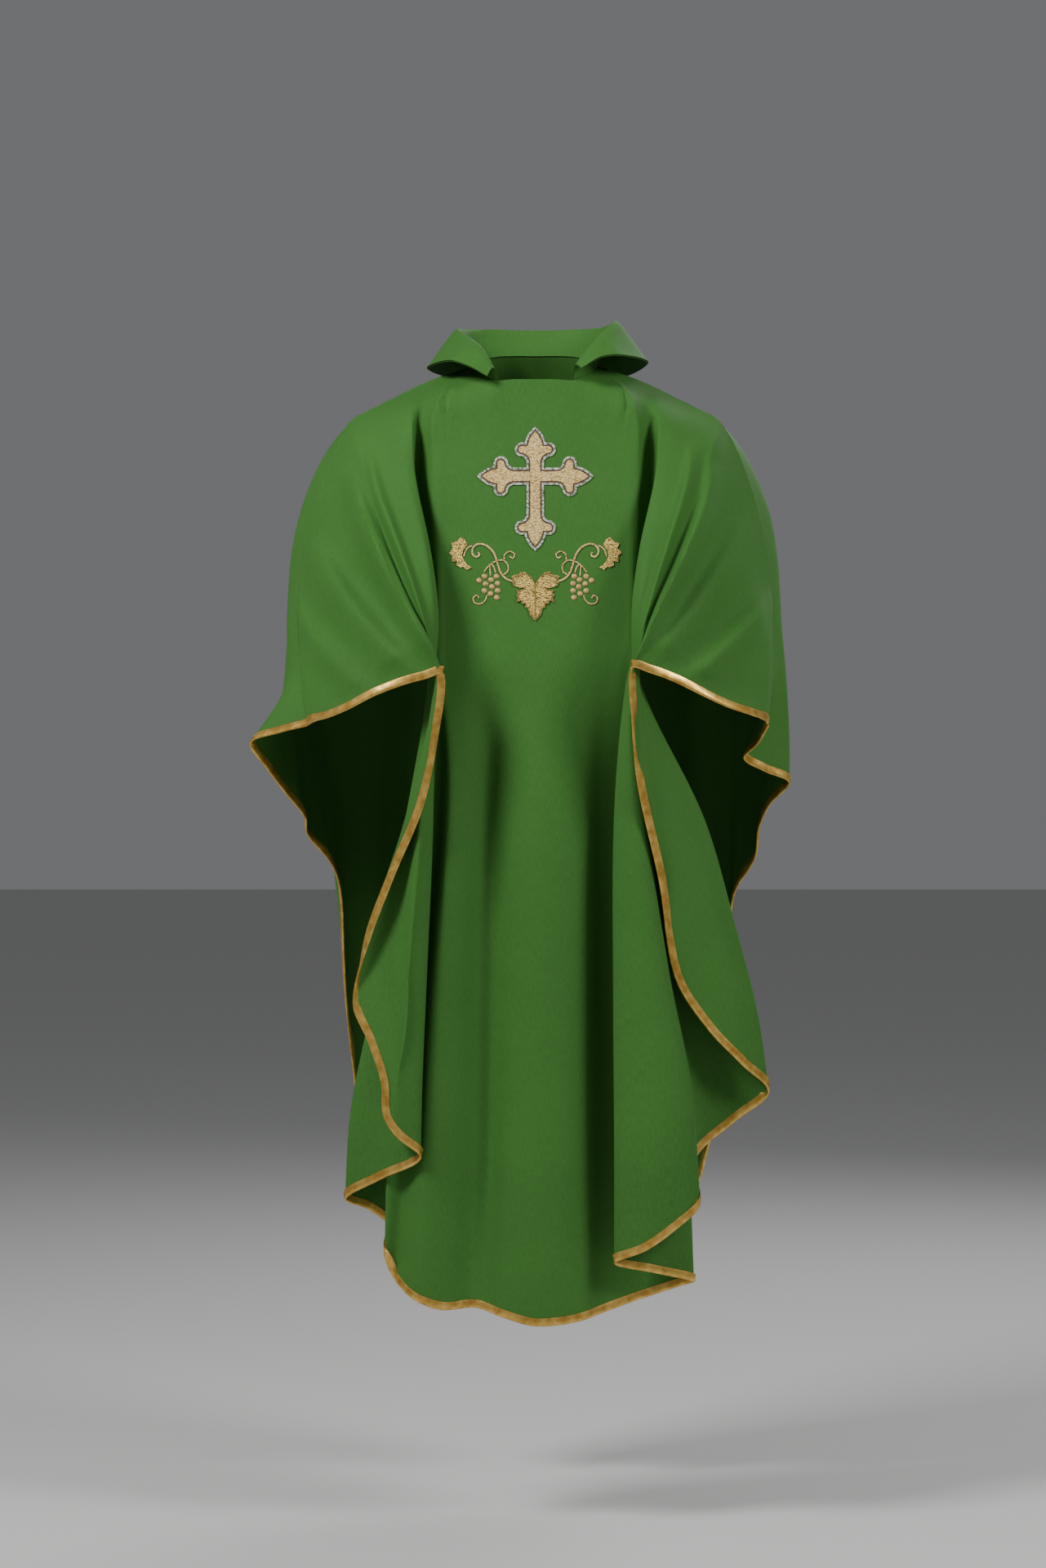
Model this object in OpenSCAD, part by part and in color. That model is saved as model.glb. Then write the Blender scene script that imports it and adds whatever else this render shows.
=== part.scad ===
// Chasuble, shaped as it hangs on a wearer with both arms bent and the hands held together in front.
// Origin: middle of the neck opening, level with the highest points of the neckline.
// -Y is the front, +X is to the right as seen from the front, and +Z is up. Millimetres.

/* [Cloth] */
// Thickness of the front and back cloth
cloth_t = 1.6; // [1.2:0.1:2.4]
// Thickness of one layer of collar cloth, facing or backing
layer_t = 0.6; // [0.4:0.1:1]
// Clearance between two layers that are sewn together
gap = 0.3; // [0.2:0.05:0.45]

/* [Neckline] */
// Half the width of the neck opening at the shoulder seams
neck_half = 80; // [66:1:100]
// Half the width of the straight front neck edge, between the collar ends
neck_front_half = 50; // [40:1:60]
// How far the front neck edge is ahead of the shoulder seams
neck_forward = 79; // [60:1:100]
// How far the front neck edge is below the shoulder seams
neck_drop = 26; // [15:1:40]
// How far the back neck edge is behind the shoulder seams
neck_back = 70; // [55:1:90]
// How far the back neck edge is above the shoulder seams
neck_rise = 18; // [8:1:30]

/* [Shoulders and arms] */
// Half the width over the shoulder points
shoulder_half = 245; // [200:5:290]
// Drop of the shoulder points below the neck
shoulder_drop = 78; // [55:1:100]
// Half the width over the elbows
elbow_half = 308; // [290:2:370]
// Drop of the elbows below the neck
elbow_drop = 330; // [280:5:390]
// Half the width at the lower ends of the shoulder seams
seam_end_half = 293; // [280:1:350]
// How far the seams' lower ends are ahead of the shoulders
seam_end_forward = 112; // [90:2:140]
// Drop of the seams' lower ends below the neck
seam_end_drop = 462; // [420:2:540]
// Half the distance between the crooks of the two arms, where the front hem crosses them
crook_half = 118; // [100:2:145]
// How far the front hem is ahead of the shoulders at the crooks
crook_forward = 205; // [170:5:245]
// Drop of the front hem below the neck at the crooks
crook_drop = 404; // [340:4:480]

/* [Hem] */
// Drop of the front hem's lowest point below the neck
front_drop = 1226; // [1030:2:1470]
// Half the width of the front's lower part
front_half = 232; // [195:2:280]
// How far the front hem hangs ahead of the shoulders
front_forward = 160; // [135:5:190]
// Drop of the back hem's lowest point below the neck
back_drop = 1236; // [1040:2:1480]
// Half the width of the back's lower part
back_half = 240; // [205:5:285]
// How far the back hem hangs behind the shoulders
back_behind = 165; // [140:5:200]
// Half the span over the two wing tips, the widest place
span_half = 348; // [325:1:418]
// Drop of the wing tips below the neck
wing_drop = 528; // [500:2:620]

/* [Binding] */
// Width of the gold binding on each face of the cloth
binding_w = 9; // [7:0.5:12]
// Thickness of the binding
binding_t = 0.8; // [0.6:0.1:1.2]
// Distance of the stitching from the binding's inner edge
stitch_inset = 2; // [1.5:0.5:3]
// Width of the row of stitches
stitch_w = 1; // [0.8:0.1:1.4]

/* [Collar] */
// Height of the collar's roll line above the neck, behind and at the sides
roll_height = 54; // [44:1:66]
// How far the collar's outer edge reaches from the middle at the sides
collar_reach = 144; // [122:1:174]

/* [Embroidery] */
// Slope of the chest, from upright
chest_slope = 8.5; // [6:0.5:11]
// Drop of the cross's centre below the neck
cross_drop = 152; // [130:2:180]
// Length of the cross's upper arm
cross_top = 59; // [50:1:70]
// Length of each side arm of the cross
cross_side = 68; // [57:1:80]
// Length of the cross's lower arm
cross_foot = 91; // [77:1:105]
// Width of the gold bars of the cross
cross_bar_w = 13; // [11:0.5:16]
// Width of the dark outline
dark_line_w = 1.6; // [1.2:0.1:2.2]
// Width of the silver border
silver_w = 2.8; // [2:0.2:3.6]
// Drop of the vine leaf's top notch below the neck
vine_drop = 290; // [284:2:300]
// Width of the stems
stem_w = 2.2; // [1.8:0.1:2.6]
// Radius of a grape
grape_r = 3.6; // [3:0.1:3.7]
// Height of the raised embroidery
thread_h = 1.2; // [0.8:0.1:2]

/* [Hidden] */
$fn = 48;

cloth_green = [0.16, 0.42, 0.10];
gold = [0.80, 0.62, 0.25];
thread_gold = [0.86, 0.72, 0.42];
silver = [0.85, 0.87, 0.84];
dark_brown = [0.30, 0.16, 0.10];
white = [0.92, 0.92, 0.90];

rows_per_span = 3;
columns_per_span = 2;

// ---- curves and surfaces ----

function unit(v) = v / norm(v);
function mix(a, b, t) = a + (b - a) * t;
function flip(v) = [-v.x, v.y, v.z];
function flip_all(c) = [for (p = c) flip(p)];
function reverse(c) = [for (k = [len(c) - 1:-1:0]) c[k]];

// A smooth curve between b and c, whose slopes at the ends take in the points a before and d after
function spline(a, b, c, d, t) =
    let (step = norm(c - b))
    let (leave = (c - a) * step / (step + norm(b - a)))
    let (arrive = (d - b) * step / (step + norm(d - c)))
    let (back = 1 - t)
    b * (1 + 2 * t) * back * back + leave * t * back * back
    + c * (3 - 2 * t) * t * t - arrive * t * t * back;

// A smooth curve through all the points, with n steps between neighbours
function through(p, n) =
    let (last = len(p) - 1)
    [for (i = [0:last - 1]) for (k = [0:n - 1])
        spline(p[max(i - 1, 0)], p[i], p[i + 1], p[min(i + 2, last)], k / n), p[last]];

// Unit normals of a grid of columns; side is 1 or -1
function normals(grid, side) =
    let (m = len(grid) - 1, n = len(grid[0]) - 1)
    [for (i = [0:m]) [for (j = [0:n])
        let (across = grid[min(i + 1, m)][j] - grid[max(i - 1, 0)][j])
        let (down = grid[i][min(j + 1, n)] - grid[i][max(j - 1, 0)])
        side * unit(cross(down, across))]];

// Two triangles for each cell, cut the other way in the second half so that both sides of the garment match
function cell(a, b, c, d, second = false) =
    second ? [[a, d, b], [b, d, c]] : [[a, c, b], [a, d, c]];
function flat_list(l) = [for (x = l) each x];

// Two grids of m by n points, joined along their rims into a closed sheet
function sheet_faces(m, n) =
    let (back = m * n, middle = (m - 1) / 2)
    flat_list(concat(
        [for (i = [0:m - 2]) for (j = [0:n - 2])
            cell(i * n + j, i * n + j + 1, (i + 1) * n + j + 1, (i + 1) * n + j, i >= middle)],
        [for (i = [0:m - 2]) for (j = [0:n - 2])
            cell(back + (i + 1) * n + j, back + (i + 1) * n + j + 1, back + i * n + j + 1, back + i * n + j,
                 i < middle)],
        [for (i = [0:m - 2])
            cell(i * n, (i + 1) * n, back + (i + 1) * n, back + i * n)],
        [for (i = [0:m - 2])
            cell((i + 1) * n + n - 1, i * n + n - 1, back + i * n + n - 1, back + (i + 1) * n + n - 1)],
        [for (j = [0:n - 2])
            cell(j + 1, j, back + j, back + j + 1)],
        [for (j = [0:n - 2])
            cell((m - 1) * n + j, (m - 1) * n + j + 1, back + (m - 1) * n + j + 1, back + (m - 1) * n + j)]));

// A sheet between two distances along the normals of a grid
module sheet(grid, norms, from, to) {
    m = len(grid);
    n = len(grid[0]);
    near = [for (i = [0:m - 1]) for (j = [0:n - 1]) grid[i][j] + norms[i][j] * to];
    far = [for (i = [0:m - 1]) for (j = [0:n - 1]) grid[i][j] + norms[i][j] * from];
    polyhedron(concat(near, far), sheet_faces(m, n), convexity = 8);
}

// A bar swept along a list of rings of k points each, closed at both ends.
// The sides listed as crossed are split the other way, so that the two faces of a thin wall stay parallel.
module sweep(rings, crossed = []) {
    m = len(rings);
    k = len(rings[0]);
    ends = [[for (i = [0:k - 1]) i], [for (i = [k - 1:-1:0]) (m - 1) * k + i]];
    sides = flat_list([for (j = [0:m - 2]) for (i = [0:k - 1])
        cell(j * k + i, j * k + (i + 1) % k, (j + 1) * k + (i + 1) % k, (j + 1) * k + i,
             (j >= (m - 1) / 2) != (len(search(i, crossed)) > 0))]);
    polyhedron(flat_list(rings), concat(ends, sides), convexity = 8);
}

// ---- the drape: one list of columns from the top edge to the hem for each panel ----

neck_side = [neck_half, 0, 0];
seam_points = [neck_side,
    [mix(neck_half, shoulder_half, 0.35), 0, -0.26 * shoulder_drop],
    [mix(neck_half, shoulder_half, 0.7), 0, -0.62 * shoulder_drop],
    [shoulder_half, -2, -shoulder_drop],
    [mix(shoulder_half, elbow_half, 0.65), -4, mix(-shoulder_drop, -elbow_drop, 0.38)],
    [mix(shoulder_half, elbow_half, 0.93), -8, mix(-shoulder_drop, -elbow_drop, 0.74)],
    [elbow_half, -24, -elbow_drop],
    [mix(elbow_half, seam_end_half, 0.5), -0.6 * seam_end_forward, mix(-elbow_drop, -seam_end_drop, 0.6)],
    [seam_end_half, -seam_end_forward, -seam_end_drop]];

// The chest is flat between the neck edge and the waist, and slopes forward
slope = tan(chest_slope);
flat_from = neck_drop + 56;
flat_to = vine_drop + 56;
waist_drop = flat_to + 60;
function chest(x, drop) = [x, -neck_forward - (drop - neck_drop) * slope, -drop];

function apron(top, x, waist_x, hem) = [top,
    chest(x, neck_drop + 24),
    chest(x, flat_from),
    chest(x, flat_to),
    chest(waist_x, waist_drop),
    mix(chest(waist_x, waist_drop), hem, 0.45),
    hem];

function over_arm(top, hem, swell) =
    [for (t = [0, 0.12, 0.28, 0.46, 0.66, 0.85, 1]) mix(top, hem, t) + swell * sin(180 * t)];

front_middle = [
    apron([0, -neck_forward - 2, -neck_drop], 0, 0, [0, -front_forward, -front_drop]),
    apron([neck_front_half, -neck_forward, -neck_drop + 1], 62, 62,
          [0.33 * front_half, -front_forward + 24, -front_drop + 12]),
    apron([0.9 * neck_half, -0.62 * neck_forward, -0.55 * neck_drop], 104, 98,
          [0.62 * front_half, -front_forward - 18, -front_drop + 44]),
    apron(neck_side, 124, 112,
          [0.88 * front_half, -front_forward + 12, -front_drop + 100])];

front_side = [
    [seam_points[1], [124, -60, -55], [130, -92, -120], [128, -108, -220], [120, -132, -370],
     [crook_half + 8, -front_forward + 30, mix(-crook_drop, -front_drop, 0.36)],
     [front_half, -front_forward, mix(-crook_drop, -front_drop, 0.62)]],
    [seam_points[2], [154, -50, -66], [148, -84, -120], [138, -102, -200], [126, -128, -320],
     [crook_half - 26, -134, -crook_drop - 70],
     [crook_half + 30, -front_forward + 16, -crook_drop - 170]],
    [seam_points[3], [214, -52, -98], [196, -96, -150], [172, -128, -215], [146, -158, -295],
     [crook_half + 8, -crook_forward + 22, -crook_drop + 44],
     [crook_half, -crook_forward, -crook_drop]],
    over_arm(seam_points[4], [mix(crook_half, seam_end_half, 0.28), -0.93 * crook_forward, -crook_drop - 16],
             [12, -48, 26]),
    over_arm(seam_points[5], [mix(crook_half, seam_end_half, 0.58), -0.78 * crook_forward, -crook_drop - 38],
             [16, -40, 14]),
    over_arm(seam_points[6], [mix(crook_half, seam_end_half, 0.82), -0.64 * crook_forward, -crook_drop - 52],
             [14, -24, 6]),
    over_arm(seam_points[7], [mix(crook_half, seam_end_half, 0.91), -0.6 * crook_forward, -seam_end_drop - 4],
             [5, -8, 0]),
    over_arm(seam_points[8], seam_points[8] + [-4, -10, -10], [0, 0, 0])];

function behind(top, hem, swell) =
    [for (t = [0, 0.06, 0.16, 0.32, 0.52, 0.76, 1]) mix(top, hem, t) + swell * pow(sin(180 * sqrt(t)), 0.7)];

back_top = [0, neck_back, neck_rise];
back_middle = [
    behind(back_top, [0, back_behind, -back_drop], [0, 46, 0]),
    behind([0.6 * neck_half, 0.82 * neck_back, 0.9 * neck_rise],
           [0.32 * back_half, back_behind - 10, -back_drop + 12], [16, 48, 0]),
    behind(neck_side, [0.6 * back_half, back_behind + 8, -back_drop + 50], [26, 76, 0])];

back_side = [
    behind(seam_points[1], [0.84 * back_half, back_behind - 8, -back_drop + 120], [30, 88, 6]),
    behind(seam_points[2], [0.96 * back_half, back_behind - 12, -back_drop + 250], [34, 84, 12]),
    behind(seam_points[3], [back_half, back_behind - 36, -back_drop + 390], [34, 76, 16]),
    behind(seam_points[4], [mix(back_half, span_half, 0.12), 0.52 * back_behind, mix(-wing_drop, -back_drop, 0.25)],
           [34, 56, 10]),
    behind(seam_points[5], [mix(back_half, span_half, 0.46), 0.2 * back_behind, mix(-wing_drop, -back_drop, 0.14)],
           [26, 38, 4]),
    behind(seam_points[6], [mix(back_half, span_half, 0.84), -0.12 * back_behind, mix(-wing_drop, -back_drop, 0.04)],
           [16, 22, 0]),
    behind(seam_points[7], [span_half, -0.4 * back_behind, -wing_drop], [6, 8, 0]),
    behind(seam_points[8], seam_points[8] + [7, -3, -19], [0, 0, 0])];

// More columns between the given ones, each row running smoothly through them
function between(columns) =
    let (rows = [for (j = [0:len(columns[0]) - 1]) through([for (c = columns) c[j]], columns_per_span)])
    [for (i = [0:len(rows[0]) - 1]) [for (r = rows) r[i]]];

// Columns across a panel: smooth within the middle and within each side, and meeting at the neck points
function across(middle, side) =
    let (right = between(concat([middle[len(middle) - 1]], side)))
    let (centre = between(concat(reverse([for (k = [1:len(middle) - 1]) flip_all(middle[k])]), middle)))
    concat(reverse([for (k = [1:len(right) - 1]) flip_all(right[k])]), centre,
           [for (k = [1:len(right) - 1]) right[k]]);

function panel(middle, side) =
    across([for (c = middle) through(c, rows_per_span)], [for (c = side) through(c, rows_per_span)]);

front_grid = panel(front_middle, front_side);
back_grid = panel(back_middle, back_side);
front_first = (len(front_side)) * columns_per_span;
front_last = len(front_grid) - 1 - front_first;
back_first = (len(back_side)) * columns_per_span;
back_last = len(back_grid) - 1 - back_first;

// On the shoulder seams both panels are cut along one plane that holds the seam, so their edges stay parallel
function seam_normal(grid, i) =
    let (along = grid[min(i + 1, len(grid) - 1)][0] - grid[max(i - 1, 0)][0])
    unit([-along.z, 0, along.x]);

function panel_normals(grid, side, first, last) =
    let (n = normals(grid, side))
    [for (i = [0:len(grid) - 1]) [for (j = [0:len(grid[0]) - 1])
        j == 0 && (i <= first || i >= last) ? seam_normal(grid, i) : n[i][j]]];

// The front edge is moved forward and the back edge backward by half the seam's clearance
function open_seam(grid, first, last, shift) =
    [for (i = [0:len(grid) - 1]) [for (j = [0:len(grid[0]) - 1])
        j == 0 && (i <= first || i >= last) ? grid[i][j] + [0, shift, 0] : grid[i][j]]];

front_norms = panel_normals(front_grid, 1, front_first, front_last);
back_norms = panel_normals(back_grid, -1, back_first, back_last);
front_cloth = open_seam(front_grid, front_first, front_last, -gap / 2);
back_cloth = open_seam(back_grid, back_first, back_last, gap / 2);

module front_panel() {
    color(cloth_green)
    sheet(front_cloth, front_norms, -cloth_t, 0);
}

module back_panel() {
    color(cloth_green)
    sheet(back_cloth, back_norms, 0, -cloth_t);
}

// ---- the bindings round the hem ----

// At each point of the hem: the point, the way into the cloth along its column, and the cloth's normal.
// Where a column meets the hem at a slant, the way in is longer, so that the binding keeps its width.
function hem_frames(grid, norms) =
    let (n = len(grid[0]) - 1)
    let (m = len(grid) - 1)
    [for (i = [0:m])
        let (along = unit(grid[min(i + 1, m)][n] - grid[max(i - 1, 0)][n]))
        let (inward = unit(grid[i][n - 1] - grid[i][n]))
        [grid[i][n], inward / max(norm(cross(inward, along)), 0.3), norms[i][n]]];

// A profile of [into the cloth, along the normal] points carried along the hem
function hem_rings(frames, profile) =
    [for (f = frames) [for (p = profile) f[0] + f[1] * p[0] + f[2] * p[1]]];

fold = gap + binding_t;
binding_profile = [
    [binding_w, fold], [-fold, fold], [-fold, -cloth_t - fold], [binding_w, -cloth_t - fold],
    [binding_w, -cloth_t - gap], [-gap, -cloth_t - gap], [-gap, gap], [binding_w, gap]];
binding_crossed = [2, 5, 6];
stitch_h = 0.5;
stitch_from = binding_w - stitch_inset;
stitch_profile = [
    [stitch_from, fold + gap + stitch_h], [stitch_from - stitch_w, fold + gap + stitch_h],
    [stitch_from - stitch_w, fold + gap], [stitch_from, fold + gap]];

module front_hem_binding() {
    color(gold)
    sweep(hem_rings(hem_frames(front_grid, front_norms), binding_profile), binding_crossed);
}

module back_hem_binding() {
    color(gold)
    sweep(hem_rings(hem_frames(back_grid, back_norms), reverse(binding_profile)), binding_crossed);
}

module front_binding_stitching() {
    color(thread_gold)
    sweep(hem_rings(hem_frames(front_grid, front_norms), stitch_profile));
}

module back_binding_stitching() {
    color(thread_gold)
    sweep(hem_rings(hem_frames(back_grid, back_norms), reverse(stitch_profile)));
}

// ---- the shoulder seams: the overlocked seam allowance, rolled under the ridge ----

seam_roll_r = 2.5;
seam_sides = 8;
seam_samples = [2:len(front_side) * columns_per_span - 3];

function seam_rings(side) =
    [for (i = seam_samples)
        let (up = front_norms[front_last + i][0])
        let (centre = front_grid[front_last + i][0] - up * (cloth_t + gap + 1.4 * seam_roll_r))
        [for (k = [0:seam_sides - 1])
            let (a = -side * 360 * k / seam_sides)
            let (p = centre + seam_roll_r * (cos(a) * up + sin(a) * [0, 1, 0]))
            [side * p.x, p.y, p.z]]];

module left_shoulder_seam() {
    color(cloth_green)
    sweep(seam_rings(-1));
}

module right_shoulder_seam() {
    color(cloth_green)
    sweep(seam_rings(1));
}

// ---- the collar: three layers that stand up at the neckline, roll over and fall outwards ----

// Each line runs from the front end, past the shoulder, to the middle of the back
collar_roll = [
    [neck_front_half + 5, -neck_forward - 5, -neck_drop + 18],
    [0.86 * neck_half, -0.72 * neck_forward, 0.2 * roll_height],
    [neck_half + 20, 6, roll_height - 4],
    [0.8 * neck_half, neck_back, roll_height],
    [0, neck_back + 14, roll_height]];
collar_edge = [
    [neck_front_half + 18, -neck_forward - 20, -neck_drop + 2],
    [0.7 * collar_reach, -neck_forward - 6, -6],
    [collar_reach, 8, 0],
    [0.72 * collar_reach, neck_back + 34, -4],
    [0, neck_back + 56, -2]];

function round_neck(half) = concat(half, [for (k = [len(half) - 2:-1:0]) flip(half[k])]);

// The foot of the collar stands on the panels' own neck edges
front_neck_samples = (len(front_middle) - 2) * columns_per_span;
back_neck_samples = (len(back_middle) - 1) * columns_per_span;
collar_foot = [for (p = concat(
        [for (k = [front_neck_samples:-1:0]) front_grid[front_last - k][0]],
        [for (k = [1:back_neck_samples]) back_grid[back_last - k][0]])) p + [0, 0, gap]];

collar_foot_line = round_neck(collar_foot);
collar_roll_line = through(round_neck(collar_roll), columns_per_span);
collar_edge_line = through(round_neck(collar_edge), columns_per_span);
collar_grid = [for (i = [0:len(collar_foot_line) - 1])
    through([collar_foot_line[i],
             mix(collar_foot_line[i], collar_roll_line[i], 0.75),
             collar_roll_line[i],
             mix(collar_roll_line[i], collar_edge_line[i], 0.3),
             collar_edge_line[i]], 2)];
collar_norms = normals(collar_grid, 1);
layer_step = layer_t + gap;

module upper_collar() {
    color(cloth_green)
    sheet(collar_grid, collar_norms, -layer_t, 0);
}

module collar_interfacing() {
    color(white)
    sheet(collar_grid, collar_norms, -layer_step - layer_t, -layer_step);
}

module under_collar() {
    color(cloth_green)
    sheet(collar_grid, collar_norms, -2 * layer_step - layer_t, -2 * layer_step);
}

// The facing lies behind the front neck edge, on the inside
facing_rows = 4;
module neck_facing() {
    columns = [for (i = [front_first + 3:front_last - 3]) i];
    color(cloth_green)
    sheet([for (i = columns) [for (j = [0:facing_rows]) front_grid[i][j]]],
          [for (i = columns) [for (j = [0:facing_rows]) front_norms[i][j]]],
          -cloth_t - gap - layer_t, -cloth_t - gap);
}

// ---- the embroidery on the flat of the chest ----

// Puts a flat shape on the chest at a drop below the neck, raised by a height above the cloth
module on_chest(drop, height) {
    translate(chest(0, drop))
    rotate([90 - chest_slope, 0, 0])
    translate([0, 0, height])
    children();
}

// A bud: a pointed tip with two side lobes, drawn upwards from the middle of its lobes
bud_tip = 24;
bud_half = 10;
lobe_reach = 17;
lobe_r = 4.5;

module pointed_tip(grow) {
    arch_r = (bud_tip * bud_tip + bud_half * bud_half) / (2 * bud_half);
    intersection() {
        translate([bud_half - arch_r, 0]) circle(arch_r + grow, $fn = 96);
        translate([arch_r - bud_half, 0]) circle(arch_r + grow, $fn = 96);
        translate([-bud_half - grow, -2]) square([2 * (bud_half + grow), bud_tip + 8]);
    }
}

module bud(grow) {
    hollow_r = lobe_reach - cross_bar_w / 2 + 2;
    pointed_tip(grow);
    for (s = [-1, 1])
        translate([s * lobe_reach, 0]) circle(lobe_r + grow);
    difference() {
        translate([-lobe_reach, -hollow_r - lobe_r]) square([2 * lobe_reach, hollow_r + 2 * lobe_r + grow]);
        for (s = [-1, 1])
            translate([s * (cross_bar_w / 2 + hollow_r), -hollow_r - lobe_r]) circle(hollow_r - grow);
    }
}

module cross_shape(grow) {
    bar = cross_bar_w + 2 * grow;
    translate([-bar / 2, bud_tip - cross_foot]) square([bar, cross_foot + cross_top - 2 * bud_tip]);
    translate([bud_tip - cross_side, -bar / 2]) square([2 * (cross_side - bud_tip), bar]);
    translate([0, cross_top - bud_tip]) bud(grow);
    translate([0, bud_tip - cross_foot]) rotate(180) bud(grow);
    for (s = [-1, 1])
        translate([s * (cross_side - bud_tip), 0]) rotate(-90 * s) bud(grow);
}

module cross_band(from, to, height) {
    on_chest(cross_drop, gap)
    linear_extrude(height)
    difference() {
        cross_shape(to);
        cross_shape(from);
    }
}

module cross_gold_fill() {
    color(thread_gold)
    on_chest(cross_drop, gap)
    linear_extrude(thread_h)
    cross_shape(-gap);
}

module cross_dark_line() {
    color(dark_brown)
    cross_band(0, dark_line_w, 0.7 * thread_h);
}

module cross_silver_border() {
    color(silver)
    cross_band(dark_line_w + gap, dark_line_w + gap + silver_w, thread_h);
}

// A ribbon of constant width along a smooth curve through the points
module ribbon(points, width) {
    curve = through(points, 5);
    last = len(curve) - 1;
    rim = [for (i = [0:last])
        let (along = unit(curve[min(i + 1, last)] - curve[max(i - 1, 0)]))
        [-along.y, along.x] * width / 2];
    polygon(concat([for (i = [0:last]) curve[i] + rim[i]], [for (i = [last:-1:0]) curve[i] - rim[i]]));
}

// The right half of the vine, from the leaf's top notch outwards
stem_points = [[29, 3], [36, 5.5], [42.5, 11.5], [47, 22], [51.5, 37], [58, 46], [67, 51], [75, 50.5],
               [80, 45], [80, 39], [76, 34.5], [71.5, 36.5], [72.5, 40.5]];
branch_points = [[80.5, 49], [85, 47], [89, 42], [91, 35]];
loop_points = [[65.5, 14.5], [60, 22], [50, 29], [41, 30], [35, 24], [35, 16], [41, 11]];
curl_points = [[39.5, 31], [39, 37.5], [32.5, 41.5], [26.5, 38], [28.5, 33], [33, 35]];
stalk_points = [[[58, 23], [57.5, 17], [57, 10]], [[56, 25], [52.5, 21], [50.5, 14]]];
tail_points = [[61.5, -15.5], [64, -22], [70, -26.5], [77, -25], [79, -19], [74.5, -15.5], [71.5, -19]];
grape_points = [[64.7, 9.3], [49.4, 9.3], [71.6, 3.9], [56.3, 4.7], [63.4, -0.4], [48, 0], [55.2, -4.2],
                [64.9, -9.4], [48, -9.2], [57, -13.2], [49, -18.2]];
leaf_half = [[0, 0], [5, 8], [12, 14], [19, 15.5], [20, 12], [26, 11], [31, 8.5], [27.5, 4], [29.5, 1],
             [27, -3.5], [18, -6], [10, -4.5], [17, -8], [24, -9], [21.5, -12], [24.5, -15], [22, -18],
             [24, -24.5], [18, -22], [17, -27], [13, -26], [12.5, -31], [9, -32.5], [7, -41], [0, -48.5]];
side_leaf_outline = [[86.5, 50], [90, 57], [96, 60], [99, 55], [107, 52], [105, 46], [110, 39], [105.5, 36],
                     [106, 28], [99.5, 29], [100.5, 23.5], [95, 20.5], [92, 22], [87.5, 17.5], [81, 20.5],
                     [87, 24.5], [91, 30.5], [93.3, 36], [92, 42.5], [89, 47]];
branch_w = 0.8 * stem_w;
tendril_w = 0.7 * stem_w;

module whole_leaf(shrink) {
    scale_by = (1 - shrink);
    polygon([for (p = concat(leaf_half, reverse([for (p = leaf_half) [-p.x, p.y]])))
        [p.x * scale_by, (p.y + 16) * scale_by - 16]]);
}

module stems() {
    ribbon(stem_points, stem_w);
}

module berries(grow) {
    for (p = grape_points) translate(p) circle(grape_r + grow);
}

module stem_side(side) {
    color(thread_gold)
    on_chest(vine_drop, gap)
    mirror([side < 0 ? 1 : 0, 0, 0])
    linear_extrude(thread_h)
    stems();
}

module tendril_side(side) {
    color(thread_gold)
    on_chest(vine_drop, gap)
    mirror([side < 0 ? 1 : 0, 0, 0])
    linear_extrude(0.8 * thread_h)
    difference() {
        union() {
            ribbon(branch_points, branch_w);
            ribbon(loop_points, tendril_w);
            ribbon(curl_points, tendril_w);
            ribbon(tail_points, tendril_w);
            for (p = stalk_points) ribbon(p, tendril_w);
        }
        ribbon(stem_points, stem_w + 2 * gap);
        berries(gap);
        polygon(side_leaf_outline);
    }
}

// Each grape is a cap of a ball that bulges from the cloth
grape_ball_r = 1.15 * grape_r;
module grape_side(side) {
    color(thread_gold)
    on_chest(vine_drop, gap)
    mirror([side < 0 ? 1 : 0, 0, 0])
    for (p = grape_points)
        translate(p)
        difference() {
            translate([0, 0, -sqrt(grape_ball_r * grape_ball_r - grape_r * grape_r)]) sphere(grape_ball_r);
            translate([0, 0, -2 * grape_ball_r]) cube(4 * grape_ball_r, center = true);
        }
}

module side_leaf_side(side) {
    color(gold)
    on_chest(vine_drop, gap)
    mirror([side < 0 ? 1 : 0, 0, 0])
    linear_extrude(thread_h)
    polygon(side_leaf_outline);
}

module vine_leaf() {
    color(gold)
    on_chest(vine_drop, gap)
    linear_extrude(thread_h)
    whole_leaf(0);
}

vein_w = 1.2;
module vine_leaf_veins() {
    color(thread_gold)
    on_chest(vine_drop, gap + thread_h)
    linear_extrude(layer_t) {
        difference() {
            whole_leaf(0.02);
            whole_leaf(0.1);
        }
        translate([-vein_w / 2, -44]) square([vein_w, 42]);
    }
}

module left_scroll_stem() { stem_side(-1); }
module right_scroll_stem() { stem_side(1); }
module left_tendrils() { tendril_side(-1); }
module right_tendrils() { tendril_side(1); }
module left_grapes() { grape_side(-1); }
module right_grapes() { grape_side(1); }
module left_side_leaf() { side_leaf_side(-1); }
module right_side_leaf() { side_leaf_side(1); }

// The backing is a sheet of stiff non-woven cloth behind the stitches, cut a little larger than the work
backing_margin = 6;
backing_half = 104;
module embroidery_backing() {
    cross_half = cross_side - 6;
    vine_top = vine_drop - 52 - backing_margin;
    color(white)
    on_chest(0, -cloth_t - gap - layer_t)
    linear_extrude(layer_t) {
        translate([-cross_half, -(cross_drop + cross_foot) / cos(chest_slope)])
            square([2 * cross_half, (cross_foot + cross_top) / cos(chest_slope)]);
        translate([-backing_half, -(vine_drop + 52) / cos(chest_slope)])
            square([2 * backing_half, (vine_drop + 52 - vine_top) / cos(chest_slope)]);
    }
}

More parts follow.
